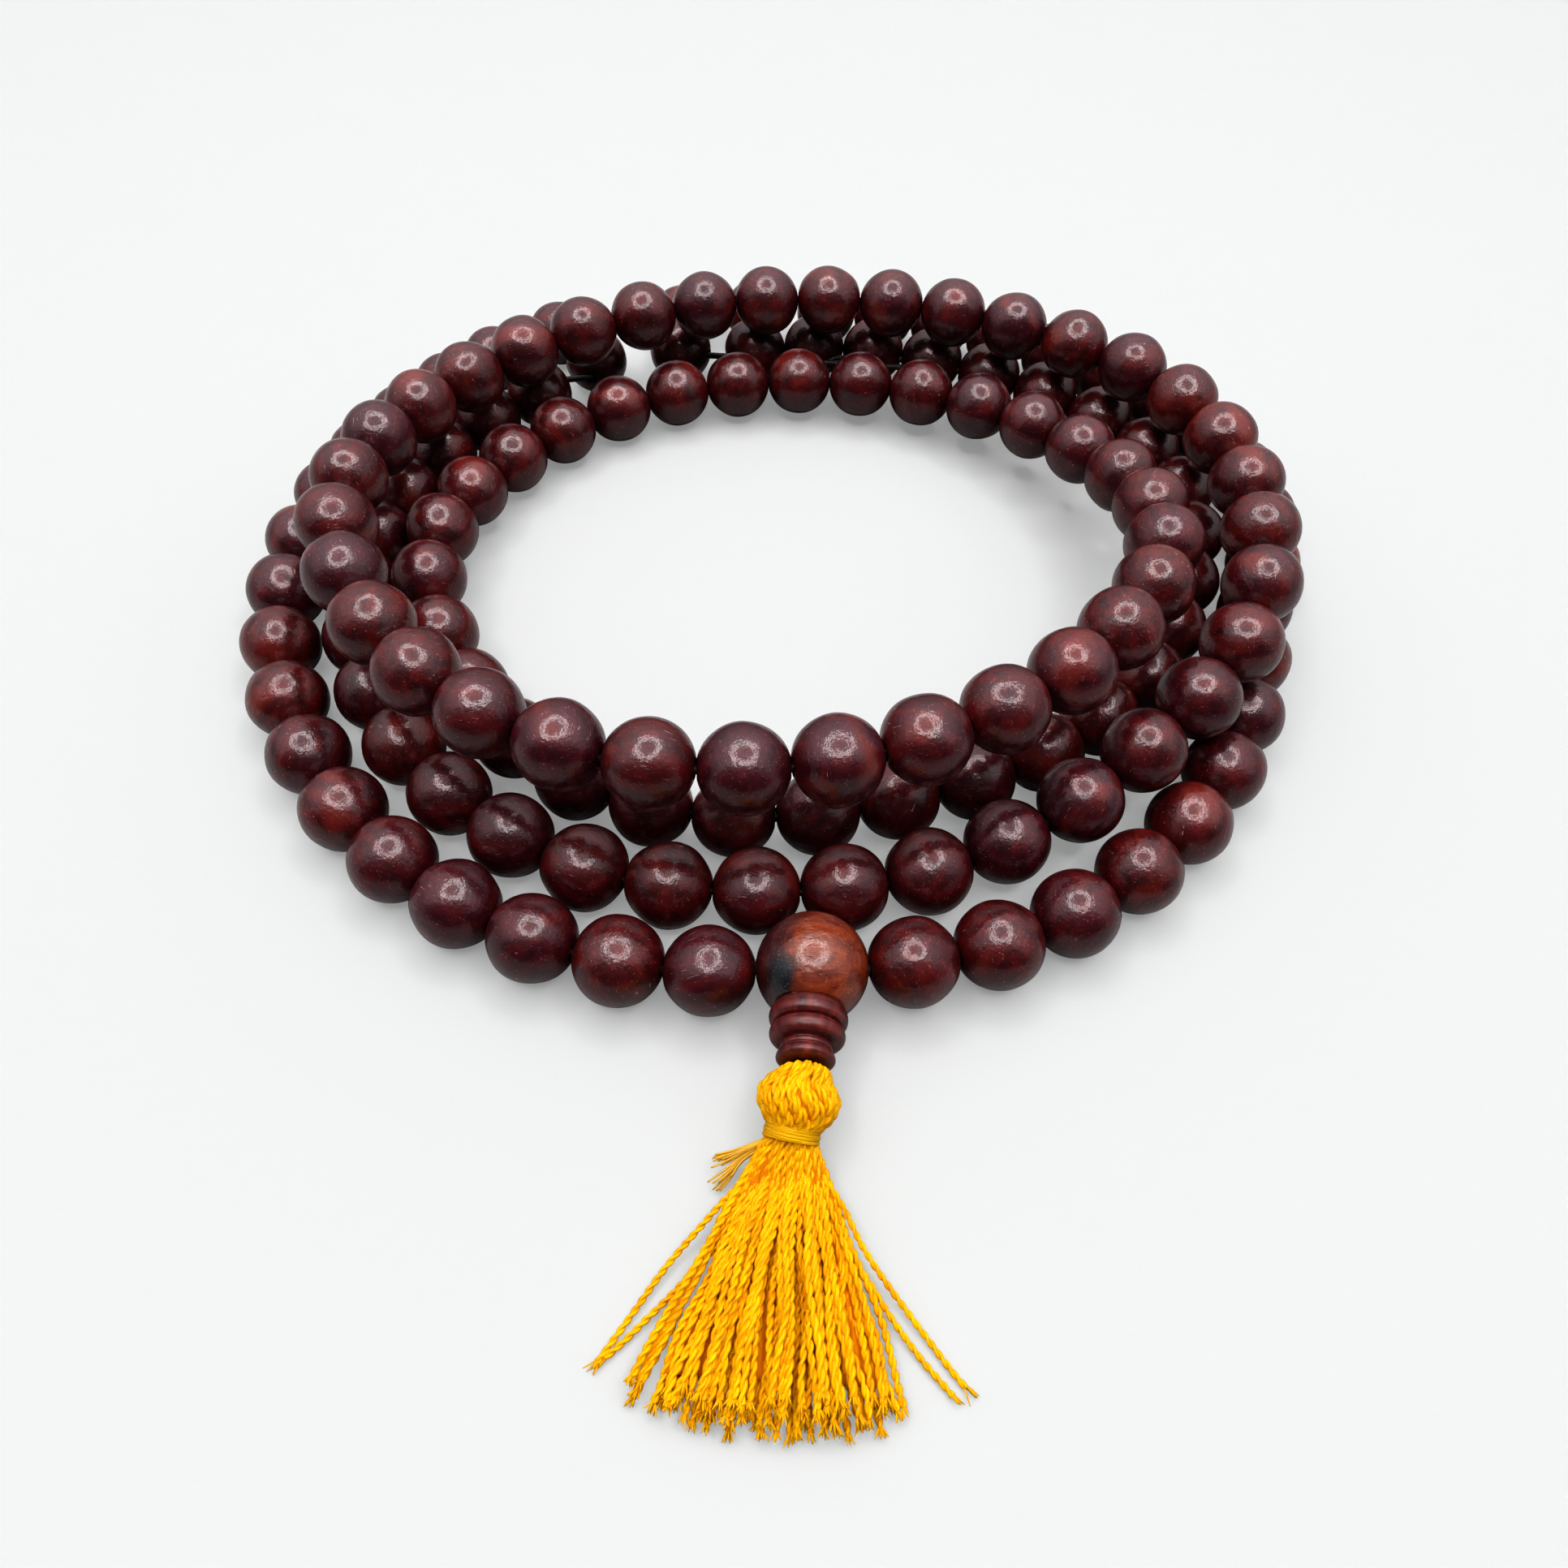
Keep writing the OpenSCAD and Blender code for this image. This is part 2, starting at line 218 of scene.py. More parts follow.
def revolve(profile, segments, wobble=None):
    """A closed ring of profile points (radius, height) in millimetres, turned about Z."""
    verts, faces = [], []
    count = len(profile)
    for s in range(segments):
        a = 2 * math.pi * s / segments
        for r, z in profile:
            v = Vector((r * math.cos(a), r * math.sin(a), z))
            if wobble:
                v = wobble(v)
            verts.append(v * MM)
    for s in range(segments):
        for i in range(count):
            p = s * count + i
            q = s * count + (i + 1) % count
            p2 = ((s + 1) % segments) * count + i
            q2 = ((s + 1) % segments) * count + (i + 1) % count
            faces.append((p, p2, q2, q))
    return verts, faces


# ---------------------------------------------------------------- material helpers
class Nodes:
    """Short names for building a material's nodes."""

    def __init__(self, name):
        self.material = bpy.data.materials.new(name)
        self.material.use_nodes = True
        self.tree = self.material.node_tree
        self.shader = self.tree.nodes["Principled BSDF"]

    def node(self, kind, **values):
        n = self.tree.nodes.new(kind)
        for key, value in values.items():
            if hasattr(n, key) and key not in n.inputs:
                setattr(n, key, value)
            else:
                n.inputs[key].default_value = value
        return n

    def link(self, a, b):
        self.tree.links.new(a, b)

    def math(self, op, a, b=None, clamp=False):
        n = self.tree.nodes.new("ShaderNodeMath")
        n.operation = op
        n.use_clamp = clamp
        for i, v in enumerate((a, b)):
            if v is None:
                continue
            if isinstance(v, (int, float)):
                n.inputs[i].default_value = v
            else:
                self.link(v, n.inputs[i])
        return n.outputs[0]

    def ramp(self, fac, stops):
        n = self.tree.nodes.new("ShaderNodeValToRGB")
        while len(n.color_ramp.elements) < len(stops):
            n.color_ramp.elements.new(0.5)
        for e, (pos, col) in zip(n.color_ramp.elements, stops):
            e.position = pos
            e.color = (*col, 1)
        self.link(fac, n.inputs[0])
        return n.outputs[0]

    def grey(self, fac, low, high):
        """A soft rise from 0 to 1 as fac goes from low to high."""
        n = self.tree.nodes.new("ShaderNodeMapRange")
        n.interpolation_type = "SMOOTHSTEP"
        n.inputs["From Min"].default_value = low
        n.inputs["From Max"].default_value = high
        self.link(fac, n.inputs["Value"])
        return n.outputs[0]

    def mix(self, fac, a, b, mode="MIX"):
        n = self.tree.nodes.new("ShaderNodeMix")
        n.data_type = "RGBA"
        n.blend_type = mode
        for i, v in ((0, fac), (6, a), (7, b)):
            if isinstance(v, (int, float)):
                n.inputs[i].default_value = v
            elif isinstance(v, tuple):
                n.inputs[i].default_value = (*v, 1)
            else:
                self.link(v, n.inputs[i])
        return n.outputs[2]

    def noise(self, vector, scale, detail=4.0, rough=0.55, distortion=0.0):
        n = self.tree.nodes.new("ShaderNodeTexNoise")
        n.inputs["Scale"].default_value = scale
        n.inputs["Detail"].default_value = detail
        n.inputs["Roughness"].default_value = rough
        n.inputs["Distortion"].default_value = distortion
        self.link(vector, n.inputs["Vector"])
        return n.outputs["Fac"]

    def scaled(self, vector, x, y, z):
        n = self.tree.nodes.new("ShaderNodeMapping")
        n.inputs["Scale"].default_value = (x, y, z)
        self.link(vector, n.inputs["Vector"])
        return n.outputs[0]

    def bump(self, height, distance, strength=1.0, after=None):
        n = self.tree.nodes.new("ShaderNodeBump")
        n.inputs["Distance"].default_value = distance
        n.inputs["Strength"].default_value = strength
        self.link(height, n.inputs["Height"])
        if after is not None:
            self.link(after, n.inputs["Normal"])
        return n.outputs[0]

    def set(self, **values):
        for key, value in values.items():
            socket = self.shader.inputs[key.replace("_", " ")]
            if isinstance(value, (int, float, tuple)):
                socket.default_value = value
            else:
                self.link(value, socket)


def object_mm(n):
    """Object coordinates in millimetres."""
    coord = n.node("ShaderNodeTexCoord").outputs["Object"]
    return n.scaled(coord, 1000, 1000, 1000)


def turned_at_random(n, vector):
    """Turns and shifts the grain differently on every bead."""
    info = n.node("ShaderNodeObjectInfo").outputs["Random"]
    spin = n.node("ShaderNodeCombineXYZ")
    for i, k in enumerate((5.0, 17.0, 31.0)):
        n.link(n.math("MULTIPLY", info, k), spin.inputs[i])
    rot = n.node("ShaderNodeVectorRotate")
    rot.rotation_type = "EULER_XYZ"
    n.link(vector, rot.inputs["Vector"])
    n.link(spin.outputs[0], rot.inputs["Rotation"])
    shift = n.node("ShaderNodeVectorMath")
    shift.operation = "ADD"
    n.link(rot.outputs[0], shift.inputs[0])
    far = n.node("ShaderNodeCombineXYZ")
    for i, k in enumerate((313.0, 177.0, 91.0)):
        n.link(n.math("MULTIPLY", info, k), far.inputs[i])
    n.link(far.outputs[0], shift.inputs[1])
    return info, shift.outputs[0]


def bead_material():
    n = Nodes("bead_wood")
    info, at = turned_at_random(n, object_mm(n))
    warp = n.noise(n.scaled(at, 0.16, 0.24, 0.24), 1.0, 3.0, 0.5)
    streak = n.noise(n.scaled(at, 0.13, 0.80, 0.80), 1.0, 5.0, 0.58, 0.35)
    fine = n.noise(n.scaled(at, 0.30, 6.0, 6.0), 1.0, 3.0, 0.6, 0.2)
    grain = n.math("ADD", n.math("MULTIPLY", streak, 0.78), n.math("MULTIPLY", fine, 0.22))
    red = n.ramp(grain, [(0.30, (0.018, 0.0018, 0.0034)), (0.46, (0.054, 0.0040, 0.0056)),
                         (0.60, (0.104, 0.0066, 0.0070)), (0.76, (0.165, 0.0120, 0.0090))])
    plum = n.ramp(grain, [(0.30, (0.016, 0.0020, 0.0060)), (0.50, (0.046, 0.0046, 0.0108)),
                          (0.74, (0.088, 0.0078, 0.0140))])
    tint = n.math("FRACT", n.math("MULTIPLY", info, 7.31))
    toward = n.grey(n.math("ADD", tint, n.math("MULTIPLY", warp, 1.2)), 0.75, 1.55)
    colour = n.mix(toward, red, plum)
    lucky = n.math("MULTIPLY", n.math("FRACT", n.math("MULTIPLY", info, 3.7)), 0.15)
    glow = n.grey(n.math("ADD", warp, lucky), 0.60, 0.80)
    colour = n.mix(n.math("MULTIPLY", glow, 0.42), colour, (0.270, 0.0300, 0.0115))
    pores = n.grey(n.noise(n.scaled(at, 0.8, 8.0, 8.0), 1.0, 2.0, 0.5), 0.66, 0.76)
    colour = n.mix(n.math("MULTIPLY", pores, 0.45), colour, (0.010, 0.002, 0.003))
    marks = n.grey(n.noise(n.scaled(at, 0.9, 3.0, 22.0), 1.0, 1.0, 0.4), 0.725, 0.745)
    colour = n.mix(n.math("MULTIPLY", marks, 0.55), colour, (0.55, 0.36, 0.33))
    uneven = n.noise(n.scaled(at, 0.50, 0.50, 0.50), 1.0, 3.0, 0.5)
    dents = n.noise(n.scaled(at, 2.4, 2.4, 2.4), 1.0, 3.0, 0.6)
    normal = n.bump(uneven, 0.00020, 0.35)
    normal = n.bump(dents, 0.00007, 0.6, normal)
    normal_base = n.bump(pores, 0.00003, 0.5, normal)
    coat = n.math("ADD", n.math("MULTIPLY", dents, 0.15), 0.04)
    n.set(Base_Color=colour, Roughness=0.40, Normal=normal_base, Coat_Weight=1.0,
          Coat_Normal=normal, Coat_Roughness=coat, Coat_IOR=1.5)
    n.shader.inputs["Specular Tint"].default_value = (1.0, 0.74, 0.76, 1.0)
    n.shader.inputs["Coat Tint"].default_value = (1.0, 0.93, 0.93, 1.0)
    return n.material


def guru_material():
    n = Nodes("guru_wood")
    at = object_mm(n)
    sep = n.node("ShaderNodeSeparateXYZ")
    n.link(at, sep.inputs[0])
    x, _, z = sep.outputs
    wobble = n.noise(n.scaled(at, 0.35, 0.35, 0.35), 1.0, 4.0, 0.6)
    streak = n.noise(n.scaled(at, 0.20, 0.9, 1.2), 1.0, 6.0, 0.62, 0.6)
    fine = n.noise(n.scaled(at, 0.7, 7.0, 7.0), 1.0, 3.0, 0.6, 0.3)
    grain = n.math("ADD", n.math("MULTIPLY", streak, 0.7), n.math("MULTIPLY", fine, 0.3))
    orange = n.ramp(grain, [(0.28, (0.060, 0.0080, 0.0045)), (0.42, (0.135, 0.0190, 0.0065)),
                            (0.55, (0.235, 0.0430, 0.0105)), (0.72, (0.370, 0.0850, 0.0220))])
    dark = n.ramp(grain, [(0.30, (0.022, 0.0036, 0.0052)), (0.6, (0.075, 0.0100, 0.0105)),
                          (0.75, (0.130, 0.0180, 0.0130))])
    # The darker wood lies on the left with a ragged edge, and the darker colour underneath is painted shade,
    # ragged too
    edge = n.math("ADD", x, n.math("MULTIPLY", n.math("SUBTRACT", wobble, 0.5), 5.0))
    right = n.grey(edge, -2.9, -0.7)
    # painted shade: the colour is darker towards the bottom of the ball, where its shade falls
    above_painted_shade = n.grey(n.math("ADD", z, n.math("MULTIPLY", wobble, 1.6)), -0.9, 2.6)
    colour = n.mix(n.math("MULTIPLY", right, above_painted_shade), dark, orange)
    # One sooty blue-black patch between the two woods
    spot = n.node("ShaderNodeVectorMath")
    spot.operation = "DISTANCE"
    stretch, middle = (1.35, 0.75, 0.8), (-2.7, -2.2, 3.0)
    n.link(n.scaled(at, *stretch), spot.inputs[0])
    spot.inputs[1].default_value = tuple(m * k for m, k in zip(middle, stretch))
    near = n.math("ADD", spot.outputs["Value"], n.math("MULTIPLY", wobble, 1.9))
    patch = n.math("SUBTRACT", 1.0, n.grey(near, 1.8, 3.3))
    colour = n.mix(patch, colour, (0.006, 0.0075, 0.0125))
    pores = n.grey(n.noise(n.scaled(at, 0.9, 9.0, 9.0), 1.0, 2.0, 0.5), 0.66, 0.73)
    colour = n.mix(n.math("MULTIPLY", pores, 0.75), colour, (0.030, 0.006, 0.004))
    dents = n.noise(n.scaled(at, 1.7, 1.7, 1.7), 1.0, 4.0, 0.6)
    normal = n.bump(dents, 0.00010, 0.5)
    scratch = n.grey(n.noise(n.scaled(at, 0.8, 18.0, 6.0), 1.0, 1.0, 0.4), 0.715, 0.735)
    colour = n.mix(n.math("MULTIPLY", scratch, 0.6), colour, (0.62, 0.38, 0.26))
    n.set(Base_Color=colour, Roughness=0.42, Normal=n.bump(pores, 0.00004, 0.6, normal),
          Coat_Weight=0.9, Coat_Normal=normal,
          Coat_Roughness=n.math("ADD", n.math("MULTIPLY", dents, 0.14), 0.05))
    return n.material


def cap_material():
    n = Nodes("cap_wood")
    at = object_mm(n)
    streak = n.noise(n.scaled(at, 1.4, 1.4, 0.3), 1.0, 5.0, 0.6, 0.5)
    rings = n.noise(n.scaled(at, 0.12, 0.12, 7.0), 1.0, 3.0, 0.6)
    grain = n.math("ADD", n.math("MULTIPLY", streak, 0.6), n.math("MULTIPLY", rings, 0.4))
    colour = n.ramp(grain, [(0.34, (0.034, 0.0060, 0.0075)), (0.48, (0.098, 0.0150, 0.0150)),
                            (0.58, (0.170, 0.0290, 0.0240)), (0.70, (0.270, 0.0560, 0.0420))])
    n.set(Base_Color=colour, Roughness=0.40, Normal=n.bump(grain, 0.00008, 0.7),
          Coat_Weight=0.35, Coat_Roughness=0.30)
    return n.material


def cord_material():
    n = Nodes("cord")
    at = object_mm(n)
    ply = n.noise(n.scaled(at, 1.5, 1.5, 1.5), 1.0, 4.0)
    colour = n.ramp(ply, [(0.3, (0.010, 0.006, 0.006)), (0.7, (0.050, 0.030, 0.028))])
    n.set(Base_Color=colour, Roughness=0.5, Normal=n.bump(ply, 0.00008, 0.6))
    return n.material


def thread_material(name, shades, rough=0.42, sheen=0.25):
    n = Nodes(name)
    uv = n.node("ShaderNodeUVMap", uv_map="along").outputs[0]
    fibre = n.noise(n.scaled(uv, 9.0, 1.1, 1.0), 1.0, 3.0, 0.6, 0.4)
    tone = n.noise(n.scaled(uv, 0.4, 0.28, 1.0), 1.0, 2.0)
    fac = n.math("ADD", n.math("MULTIPLY", fibre, 0.55), n.math("MULTIPLY", tone, 0.45))
    colour = n.ramp(fac, [(0.30, shades[0]), (0.5, shades[1]), (0.68, shades[2])])
    n.set(Base_Color=colour, Roughness=rough, Normal=n.bump(fibre, 0.00006, 0.55),
          Sheen_Weight=sheen, Sheen_Roughness=0.4, Sheen_Tint=(1.0, 0.72, 0.10, 1.0),
          Specular_Tint=(1.0, 0.80, 0.25, 1.0), Subsurface_Weight=0.12,
          Subsurface_Radius=(0.9, 0.45, 0.05), Subsurface_Scale=0.0004)
    return n.material


BEAD = bead_material()
GURU = guru_material()
CAP = cap_material()
CORD = cord_material()
THREAD = thread_material(
    "thread_yellow", [(0.58, 0.205, 0.0004), (0.82, 0.400, 0.001), (0.95, 0.600, 0.006)])
BAND = thread_material(
    "binding_gold", [(0.52, 0.235, 0.002), (0.68, 0.355, 0.003), (0.78, 0.460, 0.010)], rough=0.5)
TAIL = thread_material(
    "tail_tan", [(0.56, 0.270, 0.030), (0.72, 0.400, 0.060), (0.82, 0.530, 0.120)],
    rough=0.6, sheen=0.4)
# The inner threads share the yellow, but this tone is darker as painted shade inside the bundle
CORE_PAINTED_SHADE = thread_material(
    "thread_core_painted_shade", [(0.46, 0.135, 0.0006), (0.62, 0.215, 0.001), (0.74, 0.300, 0.003)], rough=0.7)


# ---------------------------------------------------------------- beads
BEAD_R = 4.0
BORE_R = 0.8
SMALLEST_SHELL = 4.0


def islands(obj):
    """Centre of each separate shell in a CAD node, in the row frame."""
    mesh = obj.data
    parent = list(range(len(mesh.vertices)))

    def root(i):
        while parent[i] != i:
            parent[i] = parent[parent[i]]
            i = parent[i]
        return i

    for e in mesh.edges:
        a, b = root(e.vertices[0]), root(e.vertices[1])
        if a != b:
            parent[a] = b
    groups = {}
    for v in mesh.vertices:
        groups.setdefault(root(v.index), []).append(obj.matrix_world @ v.co)
    centres = []
    for pts in groups.values():
        low = Vector([min(p[i] for p in pts) for i in range(3)])
        high = Vector([max(p[i] for p in pts) for i in range(3)])
        if (high - low).length > SMALLEST_SHELL * MM:
            centres.append((low + high) / 2)
    return centres


def body_with(node):
    """The body that a CAD node belongs to."""
    for name, nodes in frame["record"]["behaviour"]["bodies"].items():
        if node in nodes:
            return name
    return None


def strung_beads():
    """Every counting bead in order along the cord: (centre, CAD node)."""
    names = sorted(n for n in frame["nodes"] if n.startswith("bead"))
    names.sort(key=lambda n: int(n.split("_")[1]))
    out = []
    for name in names:
        left = islands(frame["nodes"][name])
        here = out[-1][0] if out else GURU_AT
        while left:
            near = min(left, key=lambda c: (c - here).length)
            # The wall of a hole is a shell of its own with the bead's centre
            left = [c for c in left if (c - near).length > BEAD_R * MM]
            out.append((near, name))
            here = near
    return out


JOINTS = {j["name"]: j for j in frame["joints"]}
GURU_AT = Vector(JOINTS["guru_swing"]["pos_m"])
KNOT_AT = Vector(JOINTS["tassel_swing"]["pos_m"])
CAP_AXIS = Vector(JOINTS["cap_spin"]["axis"]).normalized()
CAP_SIDE = Vector((-CAP_AXIS.y, CAP_AXIS.x, 0)).normalized()
HEAD_TURN = math.radians(-11.0)
HEAD_DROP = math.radians(24.0)
SKIRT_TURN = math.radians(-1.5)
HEAD_AXIS = Vector((math.sin(HEAD_TURN) * math.cos(HEAD_DROP),
                    -math.cos(HEAD_TURN) * math.cos(HEAD_DROP), -math.sin(HEAD_DROP)))
HEAD_SIDE = Vector((math.cos(HEAD_TURN), math.sin(HEAD_TURN), 0))
HEAD_UP = HEAD_SIDE.cross(HEAD_AXIS)
SKIRT_AXIS = Vector((math.sin(SKIRT_TURN), -math.cos(SKIRT_TURN), 0))
SKIRT_SIDE = Vector((math.cos(SKIRT_TURN), math.sin(SKIRT_TURN), 0))

BEADS = strung_beads()
PLACES = [GURU_AT] + [b[0] for b in BEADS] + [GURU_AT]
AXES = [(PLACES[i + 1] - PLACES[i - 1]).normalized() for i in range(1, len(PLACES) - 1)]


def ball_profile(radius, bore, rows):
    """Half section of a drilled ball with eased hole edges, as (radius, height)."""
    edge = bore + 0.14
    first = math.asin(edge / radius)
    arc = [first + (math.pi - 2 * first) * i / rows for i in range(rows + 1)]
    tall = 0.998 / math.cos(first)
    ball = [(radius * math.sin(a), -radius * math.cos(a) * tall) for a in arc]
    mouth = ball[-1][1]
    lip = [(bore + 0.07, mouth), (bore + 0.02, mouth - 0.05), (bore, mouth - 0.2)]
    return [(r, -z) for r, z in reversed(lip)] + ball + lip


def bead_mesh(index):
    """A counting bead, each one slightly uneven in its own way."""
    rng = random.Random(900 + index)
    seed = Vector((index * 3.7, index * 1.3, 0))
    long = rng.uniform(0.997, 1.0)
    wide = rng.uniform(1.008, 1.022)
    lean = rng.uniform(-0.014, 0.014)
    uneven = rng.uniform(0.03, 0.08)

    def wobble(v):
        away = smoothstep(1.0, 2.4, v.xy.length)
        grow = 1 + uneven / BEAD_R * noise.noise(v * 0.30 + seed) * 2 * away
        return Vector((v.x * wide * (1 + lean), v.y * wide * (1 - lean), v.z * long)) * grow

    return revolve(ball_profile(BEAD_R, BORE_R, 30), 48, wobble)


for i, ((centre, node), axis) in enumerate(zip(BEADS, AXES)):
    verts, faces = bead_mesh(i)
    add("wood_bead_%03d" % (i + 1), verts, faces, BEAD, body_with(node), (node,),
        Matrix.Translation(centre) @ frame_to(axis))


# ---------------------------------------------------------------- guru bead and cap
def guru_wobble(v):
    return v * (1 + 0.006 * noise.noise(v * 0.22 + Vector((4.0, 2.0, 7.0))))


GURU_R = 4.95
GURU_SEAT = 3.92
GURU_BORE_R = 0.9
AXIS_R = 0.02
seat_edge = math.acos(GURU_SEAT / GURU_R)
guru_profile = [(1.2, 1.6), (1.2, GURU_SEAT - 0.1), (1.3, GURU_SEAT)]
guru_profile += [(GURU_R * math.sin(a), GURU_R * math.cos(a))
                 for a in [seat_edge + (math.pi - seat_edge - 0.02) * k / 44 for k in range(45)]]
guru_profile += [(AXIS_R, -GURU_R), (AXIS_R, 1.6)]
verts, faces = revolve(guru_profile, 96, guru_wobble)
turn = frame_to(CAP_AXIS)
verts = [turn @ v for v in verts]
guru = new_object("guru_body", verts, faces, GURU)
guru.matrix_world = Matrix.Translation(GURU_AT)
bore_profile = [(GURU_BORE_R, -6.0), (GURU_BORE_R, 6.0), (AXIS_R, 6.0), (AXIS_R, -6.0)]
bore = new_object("guru_bore_tool", *revolve(bore_profile, 32), GURU)
bore.matrix_world = Matrix.Translation(GURU_AT) @ frame_to(CAP_SIDE)
bpy.context.view_layer.update()
cut = guru.modifiers.new("side_hole", "BOOLEAN")
cut.operation = "DIFFERENCE"
cut.solver = "EXACT"
cut.object = bore
depsgraph = bpy.context.evaluated_depsgraph_get()
drilled = bpy.data.meshes.new_from_object(guru.evaluated_get(depsgraph))
guru.modifiers.clear()
guru.data = drilled
bpy.data.objects.remove(bore)
bpy.context.view_layer.update()
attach(guru, "guru")
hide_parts("guru_bead")

# Turned outline of the cap from the seat to the mouth, as (radius, height from the seat)
CAP_OUTSIDE = [
    (2.60, 0.00), (2.96, 0.02), (3.14, 0.16), (3.27, 0.45), (3.35, 0.85), (3.34, 1.16),
    (3.24, 1.42), (3.02, 1.60), (2.78, 1.68), (2.70, 1.74), (2.72, 1.80), (2.90, 1.84),
    (3.06, 1.98), (3.17, 2.24), (3.21, 2.52), (3.15, 2.82), (2.98, 3.06), (2.70, 3.20),
    (2.34, 3.26), (2.06, 3.30), (1.98, 3.38), (2.04, 3.46), (2.16, 3.54), (2.21, 3.70),
    (2.17, 3.86), (2.08, 3.93), (2.09, 3.99), (2.20, 4.05), (2.36, 4.20), (2.46, 4.44),
    (2.48, 4.66), (2.40, 4.84), (2.20, 4.97), (1.85, 5.06), (1.45, 5.10), (1.16, 5.09),
]
CAP_INSIDE = [(1.05, 5.02), (1.02, 4.90), (1.10, 4.50), (1.15, 3.90), (1.15, 0.12), (1.22, 0.0)]


def ease(points, per):
    """Rounds an outline with a curve through its points."""
    pts = [Vector((r, z, 0)) for r, z in points]
    return [(p.x, p.y) for p in catmull(pts, per)]


verts, faces = revolve(ease(CAP_OUTSIDE, 3) + CAP_INSIDE, 96)
add("cap_turned", verts, faces, CAP, "cap", ("guru_cap",),
    Matrix.Translation(GURU_AT + CAP_AXIS * (GURU_SEAT + 0.06) * MM) @ frame_to(CAP_AXIS))

# ---------------------------------------------------------------- stringing cord
CORD_R = 0.4
CORD_START = 0.7
GURU_EXIT = 4.88
BEAD_EXIT = 3.98
cord_path = [GURU_AT + CAP_SIDE * CORD_START * MM, GURU_AT + CAP_SIDE * GURU_EXIT * MM]
for (centre, _), axis in zip(BEADS, AXES):
    cord_path += [centre - axis * BEAD_EXIT * MM, centre, centre + axis * BEAD_EXIT * MM]
cord_path += [GURU_AT - CAP_SIDE * GURU_EXIT * MM, GURU_AT - CAP_SIDE * CORD_START * MM]
cord_mesh = Tubes()
cord_frames = carried_frames(cord_path)
cord_mesh.tube(cord_path, cord_frames, [CORD_R * MM] * len(cord_path), 14,
               [i * 2.0 for i in range(len(cord_path))])
cord_mesh.make("cord_line", CORD, "strand", "cord", ("stringing_cord",))

# ---------------------------------------------------------------- tassel
rng = random.Random(12)
HEAD_LEN = 4.1
NECK_R = 2.1
BAND_LEN = 1.5
SKIRT_FROM = HEAD_LEN + BAND_LEN


def head_point(across, up, ahead):
    """A point in the head's own directions from the knot, in millimetres."""
    return KNOT_AT + MM * (HEAD_SIDE * across + HEAD_UP * up + HEAD_AXIS * ahead)


def flat_point(across, ahead, height):
    """A point by its place ahead of the knot along the skirt and its height over the surface."""
    p = KNOT_AT + MM * (SKIRT_SIDE * across + SKIRT_AXIS * ahead)
    return Vector((p.x, p.y, height * MM))


CAP_UP = CAP_SIDE.cross(CAP_AXIS)


def head_radius(t):
    """Radius of the head from the cap (t = 0) to the binding (t = 1)."""
    t = max(0.0, t)
    return (1 - t) * 2.4 + t * NECK_R + 0.92 * math.sin(math.pi * min(1.0, t) ** 0.9)


def mouth_point(angle, r, ahead):
    """A point beside the cap's mouth, in the cap's own directions from the knot."""
    return KNOT_AT + MM * (CAP_SIDE * r * math.cos(angle) + CAP_UP * r * math.sin(angle)
                           + CAP_AXIS * ahead)


# Every thread of the head comes out at the cord and spreads under the cap, as (ahead, radius)
MOUTH = [(0.2, 1.05), (0.28, 1.45), (0.46, 1.95)]


def head_shell(name, inset, material, sides=64, rows=40):
    """The closed body that fills the head inside its threads."""
    verts, faces = [], []
    for ahead, r in MOUTH:
        verts += [mouth_point(2 * math.pi * k / sides, r - inset, ahead + inset)
                  for k in range(sides)]
    for i in range(rows + 1):
        t = i / rows
        r = max(0.05, head_radius(t) - inset)
        for k in range(sides):
            a = 2 * math.pi * k / sides
            ahead = 0.75 + (HEAD_LEN - 0.15) * t
            verts.append(head_point(r * math.cos(a), r * math.sin(a), ahead))
    rows += len(MOUTH)
    for i in range(rows):
        for k in range(sides):
            p, q = i * sides + k, i * sides + (k + 1) % sides
            faces.append((p, q, q + sides, p + sides))
    faces.append(tuple(reversed(range(sides))))
    faces.append(tuple(rows * sides + k for k in range(sides)))
    uvs = [(v.x / MM, v.y / MM) for v in verts]
    return add(name, verts, faces, material, "tassel", uvs=uvs)


# The head's inner body takes the darker tone, painted shade between the threads
head_shell("head_core", 0.26, CORE_PAINTED_SHADE)
head = Tubes()
HEAD_THREADS = 27
TOP_THREADS = 14
for layer, count in ((0, HEAD_THREADS), (1, TOP_THREADS)):
    for k in range(count):
        start = 2 * math.pi * (k + 0.5 * layer) / count + rng.uniform(-0.08, 0.08)
        lean = 0.75 + rng.uniform(-0.15, 0.15)
        out = 0.16 * layer + rng.uniform(-0.06, 0.06)
        path = [mouth_point(start - 0.5 * lean, r, ahead) for ahead, r in MOUTH]
        for i in range(17):
            t = i / 16
            a = start + lean * (t - 0.5) + 0.07 * math.sin(6 * t + k)
            r = head_radius(t) - 0.19 + out * math.sin(math.pi * t)
            ahead = (HEAD_LEN - 0.35) * t + 0.75
            path.append(head_point(r * math.cos(a), r * math.sin(a), ahead))
        head.thread(catmull(path, 3), rng, ply_r=0.215, lay_r=0.17,
                    pitch=rng.uniform(2.0, 2.4), sides=7)
head.make("head_threads", THREAD, "tassel", "tassel_thread", ("tassel_head",))

